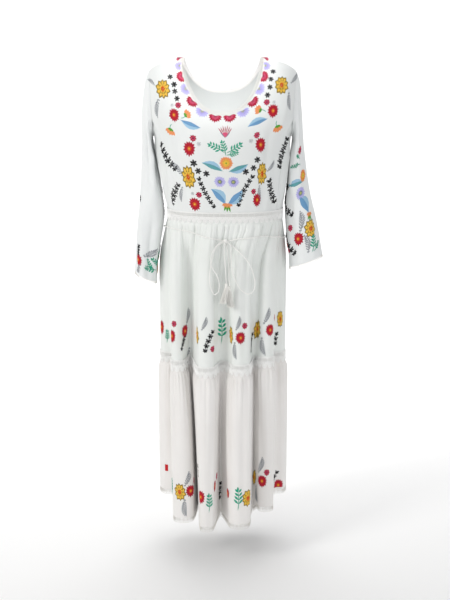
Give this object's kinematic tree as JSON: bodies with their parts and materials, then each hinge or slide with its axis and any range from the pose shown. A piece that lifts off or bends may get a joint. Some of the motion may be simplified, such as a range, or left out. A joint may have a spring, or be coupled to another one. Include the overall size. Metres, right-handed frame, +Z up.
{
  "type": "maxi dress",
  "caption": "Long-sleeved white maxi dress with embroidered flowers, a scooped V neck, a gathered tiered skirt, lace bands and a thin cord belt tied in a bow with tassels.",
  "frame": {"origin": "midway between the neck points of the shoulder seams, where the dress is held up by the wearer's shoulders", "axes": "+Z up, -Y is the front of the dress, +X is the wearer's left"},
  "size_m": [0.5482, 0.3202, 1.352],
  "materials": {
    "crepe": "matte white woven crepe",
    "lace": "matte white cotton lace",
    "cord": "matte white twisted cotton cord"
  },
  "bodies": {
    "root": {"bodice_front": "crepe", "bodice_back": "crepe", "sleeve_left": "crepe", "sleeve_right": "crepe", "skirt_front": "crepe", "skirt_back": "crepe", "flounce_front": "crepe", "flounce_back": "crepe", "neck_lace": "lace", "waist_lace": "lace", "tier_lace": "lace", "hem_lace": "lace", "cuff_lace_left": "lace", "cuff_lace_right": "lace", "belt_cord": "cord", "bow_knot": "cord", "bow_loop_left": "cord", "bow_loop_right": "cord", "cord_tail_left": "cord", "cord_tail_right": "cord", "tassel_left": "cord", "tassel_right": "cord"}
  },
  "joints": []
}
